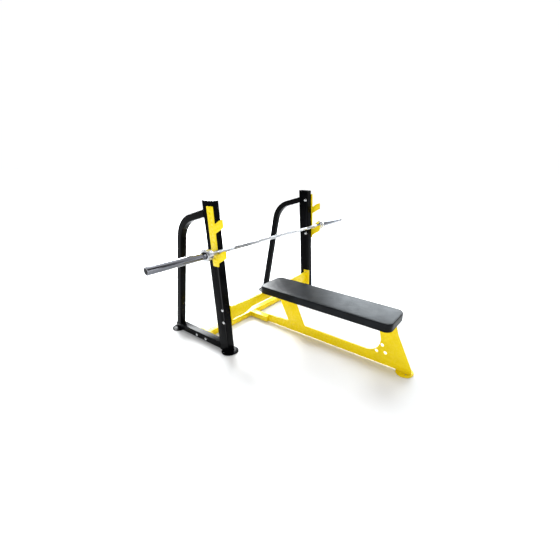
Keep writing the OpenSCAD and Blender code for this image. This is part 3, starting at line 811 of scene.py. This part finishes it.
def hem():
    """The cover's edge, turned under the board and stapled."""
    bm = bmesh.new()
    z = PAD_LOW.z
    section = ((3, 0.2), (1.5, -0.7), (5, -1.1), (24, -1.3), (31, -1.0), (32, 0.2))
    rings = [pad_ring(u * MM, z + w * MM) for u, w in section]
    loft(bm, rings, closed=True)
    piece("pad_hem", bm, FRAME, "black_vinyl", flat_angle=60)
    bm = bmesh.new()
    middle = (PAD_LOW + PAD_HIGH) / 2
    for p in walk(pad_ring(HEM_INSET, z - 1.5 * MM), 38 * MM):
        on_long_side = abs(p.x - middle.x) > 95 * MM
        inward = Vector((middle.x - p.x, 0, 0)) if on_long_side else Vector((0, middle.y - p.y, 0))
        way = inward.normalized()
        along = way.cross(Vector((0, 0, 1)))
        rings = []
        for t, drop_z in ((-5.5, 1.2), (-5.3, 0.0), (-4.8, -0.3), (4.8, -0.3), (5.3, 0.0), (5.5, 1.2)):
            at = p + along * t * MM + Vector((0, 0, drop_z * MM))
            rings.append([at + 0.4 * MM * Vector((math.cos(k) * way.x, math.cos(k) * way.y, math.sin(k)))
                          for k in (math.radians(90 * n) for n in range(4))])
        loft(bm, rings)
    piece("pad_staples", bm, FRAME, "zinc_steel", flat_angle=50)


def pad():
    """The cushion, its welted and stitched seam, and the stapled hem under the board."""
    cushion = cushion_start()
    settle(cushion, "REMESH", mode="VOXEL", voxel_size=4.5 * MM, adaptivity=0.0)
    inflate(cushion)
    settle(cushion, "SMOOTH", factor=0.5, iterations=2)
    settle(cushion, "SUBSURF", levels=1, render_levels=1)
    tailor(cushion)
    cushion.data.materials.append(MATERIALS["black_vinyl"])
    cushion.data.polygons.foreach_set("use_smooth", [True] * len(cushion.data.polygons))
    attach(cushion, FRAME)
    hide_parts("pad_cushion")
    drop = surface_of(cushion)
    piping(drop)
    stitching(drop)
    hem()


# ---------------------------------------------------------------- studio

def sky():
    """A white backdrop; what lights and mirrors see darkens to one side, as an unlit room does."""
    world = bpy.data.worlds.new("studio")
    SCENE.world = world
    world.use_nodes = True
    tree = world.node_tree
    back = tree.nodes["Background"]
    where = tree.nodes.new("ShaderNodeTexCoord")
    facing = tree.nodes.new("ShaderNodeVectorMath")
    facing.operation = "DOT_PRODUCT"
    facing.inputs[1].default_value = SKY_BRIGHT_WAY
    fall = tree.nodes.new("ShaderNodeMapRange")
    fall.interpolation_type = "SMOOTHSTEP"
    for key, value in (("From Min", -0.3), ("From Max", 0.35), ("To Min", SKY_NEAR), ("To Max", SKY_FAR)):
        fall.inputs[key].default_value = value
    tree.links.new(where.outputs["Generated"], facing.inputs[0])
    tree.links.new(facing.outputs["Value"], fall.inputs["Value"])
    ray = tree.nodes.new("ShaderNodeLightPath")
    seen = tree.nodes.new("ShaderNodeMix")
    seen.inputs["B"].default_value = SKY_FAR
    tree.links.new(ray.outputs["Is Camera Ray"], seen.inputs["Factor"])
    tree.links.new(fall.outputs["Result"], seen.inputs["A"])
    tree.links.new(seen.outputs["Result"], back.inputs["Strength"])
    back.inputs["Color"].default_value = (0.985, 0.992, 1.0, 1)


def panel(name, spot, aim, width, height, radiance, colour=(1, 1, 1)):
    """A soft rectangular light of a given radiance, left out of the camera's own view."""
    light = bpy.data.lights.new(name, "AREA")
    light.shape = "RECTANGLE"
    light.size = width
    light.size_y = height
    light.color = colour
    light.energy = radiance * width * height * math.pi
    lamp = bpy.data.objects.new(name, light)
    SCENE.collection.objects.link(lamp)
    lamp.location = spot
    lamp.rotation_mode = "QUATERNION"
    lamp.rotation_quaternion = (Vector(aim) - Vector(spot)).to_track_quat("-Z", "Y")
    lamp.visible_camera = False


def studio():
    """The floor, the sky and five panels of light."""
    sky()
    bm = bmesh.new()
    bmesh.ops.create_grid(bm, x_segments=8, y_segments=8, size=40)
    mesh = bpy.data.meshes.new("floor")
    bm.to_mesh(mesh)
    bm.free()
    floor = bpy.data.objects.new("floor", mesh)
    SCENE.collection.objects.link(floor)
    mesh.materials.append(floor_finish("studio_floor"))
    panel("key", (-4.6, -1.4, 1.8), (0, 0, 0.3), 3.0, 2.4, 5.4)
    panel("front", (-1.0, -4.8, 2.0), (0, 0, 0.4), 2.4, 1.8, 3.0)
    panel("top", (0.2, 0.3, 5.0), (0, 0, 0.4), 3.0, 3.0, 1.2)
    panel("far", (4.0, 0.4, 2.4), (0, -0.5, 0.4), 3.0, 2.2, 9.5, (0.86, 0.94, 1.0))
    panel("behind", (2.2, 4.6, 2.9), (-0.4, 0.5, 0.1), 3.0, 2.0, 34.0, (0.95, 0.98, 1.0))


def camera():
    """Standing at the near side of the foot end, looking a little down on the rack."""
    yaw, pitch, roll = math.radians(33.366), math.radians(21.630), math.radians(1.405)
    heading = Vector((math.cos(yaw) * math.cos(pitch), math.sin(yaw) * math.cos(pitch), -math.sin(pitch)))
    level = Vector((math.sin(yaw), -math.cos(yaw), 0))
    above = level.cross(heading)
    right = level * math.cos(roll) + above * math.sin(roll)
    up = above * math.cos(roll) - level * math.sin(roll)
    data = bpy.data.cameras.new("camera")
    data.sensor_width = 36
    data.lens = 19.96
    data.shift_x = -0.0636
    data.shift_y = 0.0061
    cam = bpy.data.objects.new("camera", data)
    SCENE.collection.objects.link(cam)
    turn = Matrix((right, up, -heading)).transposed().to_4x4()
    cam.matrix_world = Matrix.Translation((-1.9447, -1.4246, 1.4376)) @ turn
    SCENE.camera = cam


camera()
studio()
SCENE.view_settings.view_transform = "Standard"

for side in ("left", "right"):
    brace(side)
weld_beads()
shaft()
pad()

# How far each kind of part has its edges eased
EASED = {
    0.4 * MM: ["hook_washers", "beam_washers", "base_washers", "hook_nuts", "base_nuts", "hook_bolts",
               "beam_bolts", "base_bolts", "pad_screws", "left_inner_bush", "left_outer_bush",
               "right_inner_bush", "right_outer_bush", "sleeve_retaining_rings"],
    0.8 * MM: ["left_upright", "right_upright", "left_base_rail", "right_base_rail", "lower_cross_tube",
               "spine_socket", "left_hook_plate", "right_hook_plate", "upper_beam", "left_beam_flange",
               "right_beam_flange", "left_tube_flange", "right_tube_flange", "spine_socket_plate",
               "bench_plate", "rear_pad_bracket", "front_pad_bracket", "pad_board",
               "left_front_rubber", "right_front_rubber", "left_rear_rubber", "right_rear_rubber",
               "bench_rubber"],
    1.2 * MM: ["left_front_foot", "right_front_foot", "left_rear_foot", "right_rear_foot", "bench_foot",
               "left_upright_cap", "right_upright_cap", "left_rail_cap", "right_rail_cap",
               "left_end_cap", "right_end_cap"],
    1.5 * MM: ["left_sleeve", "right_sleeve", "left_collar", "right_collar"],
}
for width, nodes in EASED.items():
    for node in nodes:
        eased(node, width)
